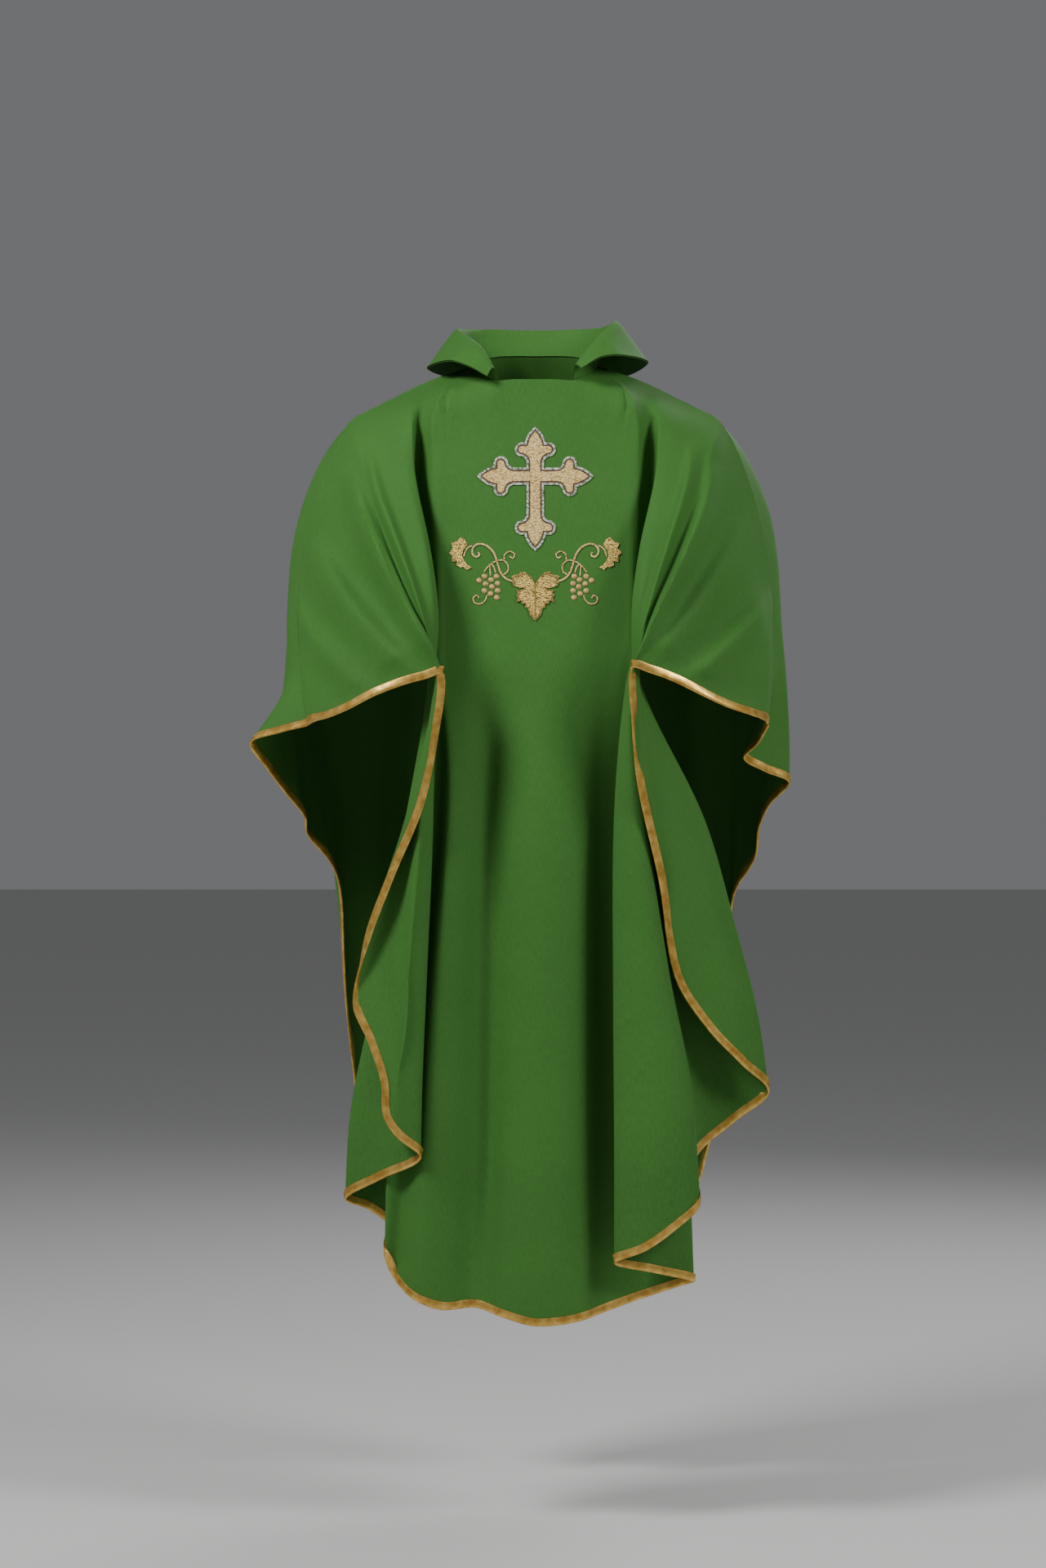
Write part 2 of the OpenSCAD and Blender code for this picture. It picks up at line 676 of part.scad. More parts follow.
front_panel();
back_panel();
front_hem_binding();
back_hem_binding();
front_binding_stitching();
back_binding_stitching();
left_shoulder_seam();
right_shoulder_seam();
upper_collar();
collar_interfacing();
under_collar();
neck_facing();
embroidery_backing();
cross_gold_fill();
cross_dark_line();
cross_silver_border();
vine_leaf();
vine_leaf_veins();
left_scroll_stem();
right_scroll_stem();
left_tendrils();
right_tendrils();
left_grapes();
right_grapes();
left_side_leaf();
right_side_leaf();
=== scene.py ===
import math
import bpy
import numpy as np
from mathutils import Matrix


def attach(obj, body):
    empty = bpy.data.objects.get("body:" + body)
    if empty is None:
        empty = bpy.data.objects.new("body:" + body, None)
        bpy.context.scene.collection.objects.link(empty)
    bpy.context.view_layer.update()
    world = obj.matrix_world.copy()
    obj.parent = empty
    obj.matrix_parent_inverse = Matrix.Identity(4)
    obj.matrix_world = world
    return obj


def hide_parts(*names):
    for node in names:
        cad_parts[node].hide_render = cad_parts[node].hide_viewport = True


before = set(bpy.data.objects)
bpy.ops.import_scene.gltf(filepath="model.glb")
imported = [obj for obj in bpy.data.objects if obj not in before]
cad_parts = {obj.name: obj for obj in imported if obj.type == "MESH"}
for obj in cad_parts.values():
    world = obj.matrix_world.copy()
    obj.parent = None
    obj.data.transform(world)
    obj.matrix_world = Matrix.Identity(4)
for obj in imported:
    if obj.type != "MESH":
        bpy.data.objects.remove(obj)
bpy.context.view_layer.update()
bpy.ops.object.select_all(action="DESELECT")

# ---- Front panel ----
# One full width of matt green cloth, polyester with a little wool, woven with a fine upright rib.
# It hangs from the neck and shoulder seams, lies flat on the chest, is gathered in the crook of
# each arm, and falls from there in long pleats whose edge folds over and back again.
MM = 0.001
SHOULDER_SEAM = [(80, 0, 0), (138, 0, -20), (195, 0, -48), (245, -2, -78), (286, -4, -174),
                 (304, -8, -264), (308, -24, -330), (300, -67, -409), (293, -112, -462)]


def hermite(a, b, c, d, t):
    """A point between b and c on a smooth curve that takes its slopes from a and d."""
    def gap(p, q):
        return np.linalg.norm(q - p, axis=-1, keepdims=True) + 1e-6
    step = gap(b, c)
    leave = (c - a) * step / (step + gap(a, b))
    arrive = (d - b) * step / (step + gap(c, d))
    s = 1 - t
    ends = b * (1 + 2 * t) * s * s + c * (3 - 2 * t) * t * t
    return ends + leave * t * s * s - arrive * t * t * s


def thread_through(points, steps):
    """A smooth curve through points (or whole columns of points), with equal steps between two."""
    p = np.asarray(points, float)
    p = np.concatenate([[2 * p[0] - p[1]], p, [2 * p[-1] - p[-2]]])
    run = []
    for k in range(1, len(p) - 2):
        for i in range(steps):
            run.append(hermite(p[k - 1], p[k], p[k + 1], p[k + 2], i / steps))
    return np.array(run + [p[-2]])


def even_steps(points, count):
    """The same curve cut into equal lengths."""
    curve = thread_through(points, 12)
    run = np.concatenate([[0], np.cumsum(np.linalg.norm(np.diff(curve, axis=0), axis=1))])
    at = np.linspace(0, run[-1], count)
    return np.stack([np.interp(at, run, curve[:, k]) for k in range(3)], axis=1)


SEAM_CURVE = thread_through(SHOULDER_SEAM, 20)


def on_seam(t, side):
    """A point on a seam: 0 at the neck, 3 on the shoulder, 6 at the elbow, 8 at the end."""
    x, y, z = SEAM_CURVE[round(t * 20)]
    return (side * x, y, z)


# The middle of the front neck edge, in mm: how far forward of the seams, and how far below them
NECK_FRONT = -79
NECK_DROP = 26
CHEST_SLOPE = math.radians(8.5)


def chest(x, drop):
    """A point on the flat of the chest, which slopes forward from the front of the neck."""
    return (x, NECK_FRONT - (drop - NECK_DROP) * math.tan(CHEST_SLOPE), -drop)


def apron(top, x, below):
    """A column that leaves the neck edge at top, lies on the chest at x, and hangs free below."""
    return [top] + [chest(x, drop) for drop in (50, 82, 200, 346, 400)] + below


# From the neck edge to the hem, at the ridges and valleys of the broad soft folds
FRONT_MIDDLE = [
    apron((-80, 0, 0), -124, [(-122, -132, -560), (-146, -138, -800), (-163, -144, -1000),
                              (-177, -146, -1172)]),
    apron((-74, -40, -11), -112, [(-108, -150, -560), (-126, -160, -800), (-140, -168, -1020),
                                  (-151, -168, -1195)]),
    apron((-64, -64, -19), -90, [(-88, -142, -560), (-98, -150, -800), (-108, -158, -1020),
                                 (-116, -164, -1207)]),
    apron((-50, -79, -27), -62, [(-58, -120, -560), (-60, -124, -800), (-62, -132, -1020),
                                 (-76, -148, -1206)]),
    apron((-26, -80.5, -26), -30, [(-32, -141, -560), (-34, -148, -800), (-36, -158, -1020),
                                   (-42, -166, -1216)]),
    apron((0, -81, -26), 0, [(0, -151, -560), (0, -160, -800), (0, -168, -1020),
                             (-4, -173, -1226)]),
    apron((26, -80.5, -26), 30, [(31, -148, -560), (33, -156, -800), (34, -166, -1020),
                                 (30, -172, -1225)]),
    apron((50, -79, -27), 62, [(62, -138, -560), (62, -142, -800), (61, -152, -1020),
                               (60, -164, -1220)]),
    apron((64, -64, -19), 90, [(84, -122, -560), (84, -120, -800), (86, -128, -1020),
                               (90, -146, -1211)]),
    apron((74, -40, -11), 112, [(106, -112, -560), (110, -108, -800), (118, -114, -1020),
                                (124, -136, -1200)]),
    apron((80, 0, 0), 124, [(122, -114, -560), (136, -112, -800), (150, -118, -1020),
                            (160, -136, -1188)])]

# How the cloth leaves the seam and comes over the chest to the crook: past the flat chest it sinks
# into a fold, whose outer side laps over it, and then lies on the upper arm and the forearm
OVER_CHEST = [
    (0.35, [(130, -79, -60), (132, -92, -130), (131, -108, -250), (126, -122, -340)]),
    (0.7, [(137, -68, -62), (142, -77, -132), (142, -90, -250), (134, -113, -340)]),
    (1.0, [(145, -62, -65), (150, -69, -135), (149, -88, -250), (140, -116, -338)]),
    (1.2, [(150, -63, -68), (155, -74, -138), (148, -106, -250), (136, -132, -336)]),
    (1.45, [(156, -72, -74), (154, -94, -142), (137, -130, -250), (125, -153, -334)]),
    (1.7, [(160, -79, -80), (154, -108, -148), (131, -149, -250), (121, -171, -334)]),
    (2.0, [(174, -78, -88), (164, -112, -154), (140, -157, -250), (128, -182, -334)]),
    (2.4, [(194, -71, -98), (184, -113, -164), (161, -157, -252), (139, -189, -336)]),
    (2.7, [(213, -66, -107), (200, -113, -175), (172, -158, -260), (144, -194, -340)]),
    (3.0, [(230, -60, -114), (212, -113, -188), (180, -161, -276), (145, -200, -350)])]

# Where each pleat's edge and middle leave the seam, and their way from the crook down to the hem
LEFT_CASCADE = [
    (0.35, [(-127, -135, -420), (-140, -136, -600), (-164, -142, -820), (-186, -148, -1000),
            (-191, -148, -1137)]),
    (0.6, [(-131, -132, -420), (-143, -122, -600), (-164, -118, -820), (-182, -116, -1000),
           (-185, -114, -1108)]),
    (0.8, [(-134, -134, -420), (-152, -118, -600), (-180, -108, -820), (-205, -104, -980),
           (-212, -106, -1087)]),
    (1.0, [(-136, -140, -420), (-166, -134, -600), (-206, -127, -820), (-234, -126, -960),
           (-241, -129, -1071)]),
    (1.15, [(-134, -147, -420), (-150, -150, -600), (-172, -151, -820), (-190, -151, -950),
            (-196, -152, -1044)]),
    (1.3, [(-128, -157, -420), (-129, -167, -600), (-137, -174, -800), (-142, -178, -920),
           (-144, -180, -1015)]),
    (1.5, [(-128, -167, -420), (-138, -182, -600), (-156, -190, -780), (-168, -194, -890),
           (-174, -195, -986)]),
    (1.65, [(-127, -173, -420), (-144, -187, -600), (-158, -193, -770), (-164, -195, -870),
            (-190, -191, -960)]),
    (1.85, [(-127, -180, -418), (-147, -184, -580), (-160, -186, -720), (-163, -190, -830),
            (-193, -188, -918)]),
    (2.0, [(-127, -184, -418), (-151, -176, -570), (-170, -170, -700), (-184, -174, -790),
           (-210, -178, -868)]),
    (2.2, [(-126, -188, -416), (-148, -176, -540), (-178, -166, -660), (-204, -164, -745),
           (-229, -170, -820)]),
    (2.35, [(-125, -192, -414), (-145, -189, -520), (-172, -183, -620), (-196, -179, -690),
            (-209, -178, -742)]),
    (2.5, [(-124, -196, -412), (-138, -193, -490), (-155, -189, -570), (-168, -187, -620),
           (-176, -187, -656)]),
    (2.7, [(-122, -200, -408), (-128, -199, -460), (-135, -197, -520), (-141, -196, -572)]),
    (2.85, [(-119, -204, -400), (-119, -205, -440), (-122, -204, -482)]),
    (3.0, [(-115, -208, -408)])]
RIGHT_CASCADE = [
    (0.35, [(122, -133, -420), (136, -124, -600), (158, -124, -820), (180, -128, -1010),
            (188, -136, -1179)]),
    (0.5, [(121, -135, -420), (142, -134, -600), (170, -135, -820), (192, -138, -1000),
           (200, -143, -1174)]),
    (0.65, [(118, -139, -420), (122, -147, -600), (136, -150, -820), (146, -154, -1000),
            (150, -158, -1161)]),
    (0.8, [(114, -147, -420), (99, -161, -590), (98, -168, -820), (99, -174, -1000),
           (99, -178, -1147)]),
    (0.95, [(116, -153, -420), (112, -170, -590), (122, -183, -820), (134, -192, -990),
            (138, -195, -1129)]),
    (1.1, [(118, -158, -420), (126, -174, -590), (148, -185, -800), (170, -191, -960),
           (178, -191, -1101)]),
    (1.25, [(120, -161, -420), (138, -168, -590), (168, -172, -790), (196, -174, -930),
            (207, -174, -1074)]),
    (1.4, [(122, -161, -420), (142, -148, -580), (168, -142, -770), (190, -138, -900),
           (199, -134, -1043)]),
    (1.55, [(125, -163, -420), (156, -132, -570), (182, -122, -750), (200, -116, -880),
            (209, -112, -1013)]),
    (1.7, [(128, -165, -420), (186, -122, -570), (220, -110, -740), (242, -104, -850),
           (256, -101, -974)]),
    (1.9, [(132, -169, -420), (214, -130, -590), (252, -120, -720), (283, -118, -840),
           (297, -116, -937)]),
    (2.05, [(132, -175, -418), (190, -148, -560), (228, -141, -690), (252, -140, -800),
            (262, -139, -900)]),
    (2.2, [(130, -182, -414), (168, -162, -530), (196, -154, -640), (212, -150, -740),
           (218, -150, -854)]),
    (2.35, [(128, -189, -410), (150, -174, -500), (166, -166, -600), (173, -161, -700),
            (176, -158, -787)]),
    (2.5, [(126, -195, -406), (138, -184, -480), (150, -176, -570), (157, -170, -670)]),
    (2.7, [(124, -200, -404), (126, -193, -470), (129, -186, -546)]),
    (2.85, [(121, -203, -404), (121, -199, -464)]),
    (3.0, [(120, -208, -400)])]

# Where the lines down each sleeve leave the seam, and their way over the arm to the sleeve's edge
LEFT_SLEEVE = [
    (3.35, [(-246, -52, -150), (-226, -104, -226), (-192, -152, -306), (-160, -191, -374),
            (-139, -203, -413)]),
    (3.8, [(-263, -47, -196), (-245, -93, -262), (-215, -141, -332), (-184, -180, -392),
           (-166, -195, -420)]),
    (4.4, [(-280, -43, -244), (-264, -86, -300), (-240, -128, -354), (-216, -166, -410),
           (-202, -182, -433)]),
    (5.0, [(-294, -38, -300), (-283, -76, -340), (-264, -112, -380), (-245, -148, -424),
           (-234, -166, -449)]),
    (5.8, [(-302, -48, -350), (-293, -78, -384), (-277, -112, -418), (-262, -148, -460)]),
    (6.6, [(-301, -68, -398), (-293, -96, -426), (-279, -132, -464)]),
    (7.3, [(-298, -90, -434), (-293, -106, -450), (-287, -121, -467)]),
    (8.0, [(-291, -114, -464), (-289, -118, -469)])]
RIGHT_SLEEVE = [
    (3.35, [(246, -52, -150), (226, -104, -226), (192, -152, -306), (162, -191, -368),
            (143, -203, -405)]),
    (3.8, [(263, -47, -196), (245, -93, -262), (217, -141, -330), (189, -180, -386),
           (172, -195, -415)]),
    (4.4, [(280, -43, -244), (266, -86, -300), (243, -128, -354), (220, -166, -406),
           (208, -182, -432)]),
    (5.0, [(296, -38, -300), (287, -76, -340), (270, -112, -380), (252, -148, -424),
           (242, -166, -447)]),
    (5.8, [(305, -48, -350), (299, -78, -384), (285, -112, -418), (271, -148, -456)]),
    (6.6, [(305, -68, -398), (299, -96, -426), (287, -132, -461)]),
    (7.3, [(301, -90, -434), (298, -106, -450), (294, -121, -464)]),
    (8.0, [(295, -114, -464), (296, -118, -468)])]

# Rows of cells down the cloth, columns between two given ones, and rows down to where the corners
# of the neck edge have faded out
ROWS = 90
ACROSS = 6
TOP_ROWS = 7


def weave(groups):
    """Fills in the columns between the given ones, with a corner in the top edge between groups."""
    whole = thread_through(np.concatenate([groups[0]] + [g[1:] for g in groups[1:]]), ACROSS)
    parts = [thread_through(g, ACROSS) for g in groups]
    apart = np.concatenate([parts[0]] + [p[1:] for p in parts[1:]])
    share = np.clip(1 - np.arange(ROWS) / TOP_ROWS, 0, 1)[None, :, None]
    return apart * share + whole * (1 - share)


def over_chest(t, side):
    """The four places where a column that leaves the seam at t passes over the chest."""
    at = [k for k, way in OVER_CHEST]
    ways = np.array([way for k, way in OVER_CHEST], float)
    points = [[np.interp(t, at, ways[:, j, k]) for k in range(3)] for j in range(4)]
    return [(side * x, y, z) for x, y, z in points]


# Folds that run down the sleeve to the crook: where each starts and ends along the seam, how far
# down it starts and ends, its half width and its height in mm
LEFT_FOLDS = [(2.75, 2.35, 110, 385, 0.20, 14), (3.2, 3.0, 130, 400, 0.26, 19),
              (4.4, 3.5, 225, 425, 0.55, 17), (5.6, 4.5, 300, 440, 0.6, 10)]
RIGHT_FOLDS = [(2.55, 2.3, 105, 380, 0.18, 13), (3.1, 2.85, 130, 395, 0.24, 18),
               (3.9, 3.3, 200, 410, 0.4, 14), (5.2, 4.0, 290, 430, 0.55, 16)]
# Beyond the shoulder a fold also fades before the sleeve's edge; folds rise forwards and upwards
SHOULDER = 3
FOLD_WAY = (0.25, -1.0, 0.3)


def fold_sleeve(grid, at, folds, side):
    """Raises folds on the woven sleeve, each with a gentle upper side and a steep lower one."""
    drop = -grid[:, :, 2]
    down = np.linspace(0, 1, ROWS)[None, :]
    to_edge = np.where(at[:, None] > SHOULDER, np.clip((1 - down) / 0.1, 0, 1), 1)
    fade = np.clip(down / 0.12, 0, 1) * to_edge
    rise = np.zeros_like(drop)
    for first, last, top, bottom, width, height in folds:
        s = (drop - top) / (bottom - top)
        off = (at[:, None] - first - (last - first) * np.clip(s, 0, 1)) / width
        shape = np.where(off > 0, np.exp(-off ** 2), np.exp(-(off / 0.5) ** 2))
        rise += height * shape * np.sin(np.pi * np.clip(s, 0, 1)) ** 0.8
    return grid + (rise * fade)[:, :, None] * np.array([side, 1, 1]) * FOLD_WAY


def side_columns(cascade, sleeve, side):
    """Every line of one side, from the seam to the hem, and where each leaves the seam."""
    ways = [(t, over_chest(t, side) + way) for t, way in cascade] + sleeve
    return [t for t, way in ways], [even_steps([on_seam(t, side)] + way, ROWS) for t, way in ways]


left_at, left_columns = side_columns(LEFT_CASCADE, LEFT_SLEEVE, -1)
right_at, right_columns = side_columns(RIGHT_CASCADE, RIGHT_SLEEVE, 1)
middle_columns = [even_steps(c, ROWS) for c in FRONT_MIDDLE]
front_grid = weave([np.array(left_columns[::-1] + middle_columns[:1]),
                    np.array(middle_columns),
                    np.array(middle_columns[-1:] + right_columns)])
reach = np.array(left_at[::-1] + [0] * len(middle_columns) + right_at)
reach = np.interp(np.arange(len(front_grid)) / ACROSS, np.arange(len(reach)), reach)
is_left = np.arange(len(front_grid)) < ACROSS * len(left_at)
front_grid = np.where(is_left[:, None, None], fold_sleeve(front_grid, reach, LEFT_FOLDS, -1),
                      fold_sleeve(front_grid, reach, RIGHT_FOLDS, 1)) * MM


def grid_normals(grid, facing):
    """The cloth's outward direction at every point; facing is 1 for the front, -1 for the back."""
    across = np.gradient(grid, axis=0)
    down = np.gradient(grid, axis=1)
    n = facing * np.cross(down, across)
    return n / (np.linalg.norm(n, axis=2, keepdims=True) + 1e-12)


def cloth_mesh(name, grid, facing):
    """A mesh with a face for each cell of the grid, and a map in metres across and down."""
    m, n = grid.shape[:2]
    index = np.arange(m * n).reshape(m, n)
    quads = np.stack([index[:-1, :-1], index[:-1, 1:], index[1:, 1:], index[1:, :-1]], axis=-1)
    quads = quads.reshape(-1, 4)
    if facing < 0:
        quads = quads[:, ::-1]
    mesh = bpy.data.meshes.new(name)
    mesh.from_pydata(grid.reshape(-1, 3).tolist(), [], quads.tolist())
    step = np.linalg.norm(np.diff(grid, axis=0), axis=2).mean(axis=1)
    run_across = np.concatenate([[0], np.cumsum(step)])
    step = np.linalg.norm(np.diff(grid, axis=1), axis=2)
    run_down = np.concatenate([np.zeros((m, 1)), np.cumsum(step, axis=1)], axis=1)
    place = np.stack([np.repeat(run_across[:, None], n, axis=1), -run_down], axis=-1).reshape(-1, 2)
    corners = np.zeros(len(mesh.loops), np.int32)
    mesh.loops.foreach_get("vertex_index", corners)
    cloth_map = mesh.uv_layers.new(name="cloth").data
    cloth_map.foreach_set("uv", place[corners].ravel().astype(np.float32))
    piece = bpy.data.objects.new(name, mesh)
    bpy.context.scene.collection.objects.link(piece)
    return piece


def thicken(piece, thickness, offset=-1):
    """Gives a sheet its thickness, inwards from its face, and shades it smooth."""
    solid = piece.modifiers.new("thickness", "SOLIDIFY")
    solid.thickness = thickness
    solid.offset = offset
    solid.use_even_offset = False
    bpy.context.view_layer.objects.active = piece
    piece.select_set(True)
    bpy.ops.object.modifier_apply(modifier="thickness")
    bpy.ops.object.shade_smooth_by_angle(angle=math.radians(50))
    piece.select_set(False)
    return piece


def new_material(name):
    """A plain material, its node tree and its shader."""
    material = bpy.data.materials.new(name)
    material.use_nodes = True
    tree = material.node_tree
    return material, tree, tree.nodes["Principled BSDF"]


def make_weave_group():
    """Fine upright ribs crossed by uneven picks, and slow changes of shade, as in a woven cloth."""
    group = bpy.data.node_groups.new("weave", "ShaderNodeTree")
    face = group.interface
    face.new_socket("Thread Width", in_out="INPUT", socket_type="NodeSocketFloat")
    face.new_socket("Shade", in_out="OUTPUT", socket_type="NodeSocketFloat")
    face.new_socket("Relief", in_out="OUTPUT", socket_type="NodeSocketFloat")
    nodes, links = group.nodes, group.links
    into, out = nodes.new("NodeGroupInput"), nodes.new("NodeGroupOutput")
    place = nodes.new("ShaderNodeTexCoord")
    over = nodes.new("ShaderNodeMath")
    over.operation = "DIVIDE"
    over.inputs[0].default_value = 1.0
    links.new(into.outputs["Thread Width"], over.inputs[1])
    scaled = nodes.new("ShaderNodeVectorMath")
    scaled.operation = "SCALE"
    links.new(place.outputs["UV"], scaled.inputs[0])
    links.new(over.outputs[0], scaled.inputs["Scale"])
    ribs = nodes.new("ShaderNodeMapping")
    ribs.inputs["Scale"].default_value = (1.0, 0.12, 1.0)
    links.new(scaled.outputs[0], ribs.inputs["Vector"])
    rib_noise = nodes.new("ShaderNodeTexNoise")
    rib_noise.inputs["Scale"].default_value = 0.9
    rib_noise.inputs["Detail"].default_value = 3.0
    links.new(ribs.outputs[0], rib_noise.inputs["Vector"])
    picks = nodes.new("ShaderNodeMapping")
    picks.inputs["Scale"].default_value = (0.15, 1.0, 1.0)
    links.new(scaled.outputs[0], picks.inputs["Vector"])
    pick_noise = nodes.new("ShaderNodeTexNoise")
    pick_noise.inputs["Scale"].default_value = 0.8
    pick_noise.inputs["Detail"].default_value = 2.0
    links.new(picks.outputs[0], pick_noise.inputs["Vector"])
    both = nodes.new("ShaderNodeMath")
    both.operation = "MULTIPLY_ADD"
    both.inputs[1].default_value = 0.45
    links.new(pick_noise.outputs[0], both.inputs[0])
    links.new(rib_noise.outputs[0], both.inputs[2])
    slow = nodes.new("ShaderNodeTexNoise")
    slow.inputs["Scale"].default_value = 9.0
    slow.inputs["Detail"].default_value = 2.0
    links.new(place.outputs["Object"], slow.inputs["Vector"])
    shade = nodes.new("ShaderNodeMath")
    shade.operation = "MULTIPLY_ADD"
    shade.inputs[1].default_value = 0.5
    links.new(slow.outputs[0], shade.inputs[0])
    links.new(both.outputs[0], shade.inputs[2])
    spread = nodes.new("ShaderNodeMapRange")
    spread.inputs["From Min"].default_value = 0.55
    spread.inputs["From Max"].default_value = 1.4
    links.new(shade.outputs[0], spread.inputs["Value"])
    links.new(spread.outputs[0], out.inputs["Shade"])
    links.new(both.outputs[0], out.inputs["Relief"])
    return group


WEAVE = make_weave_group()


def cloth_material(name, dark, light, thread_width, roughness, sheen, relief):
    """A woven cloth: two shades of its colour, and threads that catch the light."""
    material, tree, shader = new_material(name)
    threads = tree.nodes.new("ShaderNodeGroup")
    threads.node_tree = WEAVE
    threads.inputs["Thread Width"].default_value = thread_width
    shades = tree.nodes.new("ShaderNodeMix")
    shades.data_type = "RGBA"
    shades.inputs[6].default_value = (*dark, 1)
    shades.inputs[7].default_value = (*light, 1)
    tree.links.new(threads.outputs["Shade"], shades.inputs[0])
    tree.links.new(shades.outputs[2], shader.inputs["Base Color"])
    bump = tree.nodes.new("ShaderNodeBump")
    bump.inputs["Strength"].default_value = relief
    bump.inputs["Distance"].default_value = 0.0004
    tree.links.new(threads.outputs["Relief"], bump.inputs["Height"])
    tree.links.new(bump.outputs[0], shader.inputs["Normal"])
    shader.inputs["Roughness"].default_value = roughness
    shader.inputs["Sheen Weight"].default_value = sheen
    shader.inputs["Sheen Roughness"].default_value = 0.45
    shader.inputs["Sheen Tint"].default_value = (0.55, 0.85, 0.45, 1)
    shader.inputs["Specular IOR Level"].default_value = 0.3
    return material


green_cloth = cloth_material("green_cloth", (0.030, 0.118, 0.014), (0.052, 0.180, 0.026),
                             0.0011, 0.78, 0.05, 0.35)
CLOTH_T = 0.0008
front_panel = thicken(cloth_mesh("front_cloth", front_grid, 1), CLOTH_T)
front_panel.data.materials.append(green_cloth)
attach(front_panel, "root")
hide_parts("front_panel")

# ---- Back panel ----
# The other width of the same cloth, cut alike but for a higher neckline. It hangs from the same
# seams over the shoulder blades, falls behind in soft flutes, and stands out past the elbows as
# two wings.
# Levels between the top and the hem at which a column's points are set, closer where it curves
LEVELS = (0, 0.05, 0.12, 0.22, 0.36, 0.52, 0.76, 1)


def behind(top, hem, swell, flute):
    """A column that swells over the shoulder blades and then falls, with a flute that deepens."""
    top, hem, swell = np.array(top, float), np.array(hem, float), np.array(swell, float)
    way = []
    for t in LEVELS:
        round_back = swell * math.sin(math.pi * math.sqrt(t)) ** 0.7 if 0 < t < 1 else 0 * swell
        way.append(top * (1 - t) + hem * t + round_back + np.array([0, flute * t ** 0.9, 0]))
    return way


BACK_MIDDLE = [
    behind((-80, 0, 0), (-132, 166, -1206), (-26, 76, 0), 13),
    behind((-68, 34, 10), (-96, 162, -1222), (-22, 66, 0), -17),
    behind((-48, 57, 16), (-62, 164, -1232), (-14, 50, 0), -8),
    behind((-24, 68, 18), (-30, 165, -1236), (-6, 46, 0), 18),
    behind((0, 70, 18), (0, 165, -1238), (0, 46, 0), 4),
    behind((24, 68, 18), (32, 165, -1236), (6, 46, 0), -18),
    behind((48, 57, 16), (66, 164, -1231), (14, 50, 0), -5),
    behind((68, 34, 10), (100, 162, -1220), (22, 66, 0), 17),
    behind((80, 0, 0), (136, 166, -1203), (26, 76, 0), 6)]

# Where each line of a wing leaves the seam, its hem, how far it swells out, and its flute
LEFT_WING = [
    (0.5, (-166, 158, -1176), (-28, 84, 4), -16),
    (0.9, (-196, 152, -1136), (-30, 88, 6), 2),
    (1.3, (-218, 140, -1080), (-32, 88, 9), 17),
    (1.8, (-233, 130, -1010), (-34, 86, 12), -9),
    (2.3, (-240, 112, -930), (-34, 82, 14), -15),
    (2.8, (-249, 96, -850), (-34, 76, 16), -4),
    (3.3, (-253, 72, -770), (-34, 68, 14), 6),
    (3.9, (-255, 46, -690), (-34, 58, 10), -4),
    (4.5, (-266, 22, -650), (-30, 48, 6), 0),
    (5.1, (-297, 2, -610), (-22, 40, 4), 0),
    (5.6, (-299, -14, -588), (-18, 32, 2), 0),
    (6.1, (-322, -32, -558), (-14, 24, 0), 0),
    (6.6, (-345, -52, -526), (-10, 18, 0), 0),
    (7.1, (-366, -72, -492), (-6, 8, 2), 0),
    (7.6, (-329, -95, -479), (0, 2, 0), 0),
    (8.0, (-290, -116, -470), (0, 0, 0), 0)]
RIGHT_WING = [
    (0.5, (170, 158, -1172), (28, 84, 4), -15),
    (0.9, (200, 152, -1132), (30, 88, 6), -6),
    (1.3, (222, 140, -1074), (32, 88, 9), 17),
    (1.8, (238, 130, -1004), (34, 86, 12), 4),
    (2.3, (247, 112, -926), (34, 82, 14), -18),
    (2.8, (252, 96, -850), (34, 76, 16), -4),
    (3.3, (256, 72, -770), (34, 68, 14), 12),
    (3.9, (262, 44, -688), (34, 58, 10), -4),
    (4.5, (288, 22, -642), (26, 46, 6), 0),
    (5.1, (292, 0, -602), (20, 36, 4), 0),
    (5.6, (306, -18, -570), (16, 28, 2), 0),
    (6.1, (329, -40, -543), (12, 20, 0), 0),
    (6.6, (296, -62, -528), (10, 14, 0), 0),
    (7.1, (268, -80, -512), (6, 6, 0), 0),
    (7.6, (284, -98, -494), (2, 2, 0), 0),
    (8.0, (297, -116, -471), (0, 0, 0), 0)]


def wing_columns(parts, side):
    """Every line of one wing, from the seam to the hem."""
    return [even_steps(behind(on_seam(t, side), hem, swell, flute), ROWS)
            for t, hem, swell, flute in parts]


left_back = wing_columns(LEFT_WING, -1)
right_back = wing_columns(RIGHT_WING, 1)
middle_back = [even_steps(c, ROWS) for c in BACK_MIDDLE]
back_grid = weave([np.array(left_back[::-1] + middle_back[:1]),
                   np.array(middle_back),
                   np.array(middle_back[-1:] + right_back)]) * MM
back_panel = thicken(cloth_mesh("back_cloth", back_grid, -1), CLOTH_T)
back_panel.data.materials.append(green_cloth)
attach(back_panel, "root")
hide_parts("back_panel")

# ---- Hem bindings ----
# A bias strip of gold satin folded round the raw edge of each panel, 9 mm wide on each face, with
# its ends overlapped where the strips join, so that the binding is a little thicker there. The
# section's points are mm in from the raw edge and mm out from the face of the cloth.
BINDING_WIDTH = 9
JOIN_THICK = 1.1 * MM
JOIN_LONG = 9 * MM
BINDING_SECTION = [(BINDING_WIDTH, 0.9), (7.6, 1.15), (5, 1.3), (2, 1.3), (-0.3, 1.1), (-1.3, 0.2),
                   (-1.3, -0.6), (-0.3, -1.7), (2, -2.0), (5, -2.0), (7.6, -1.8),
                   (BINDING_WIDTH, -1.5), (BINDING_WIDTH, -1.0), (1, -1.0), (1, 0.3),
                   (BINDING_WIDTH, 0.3)]


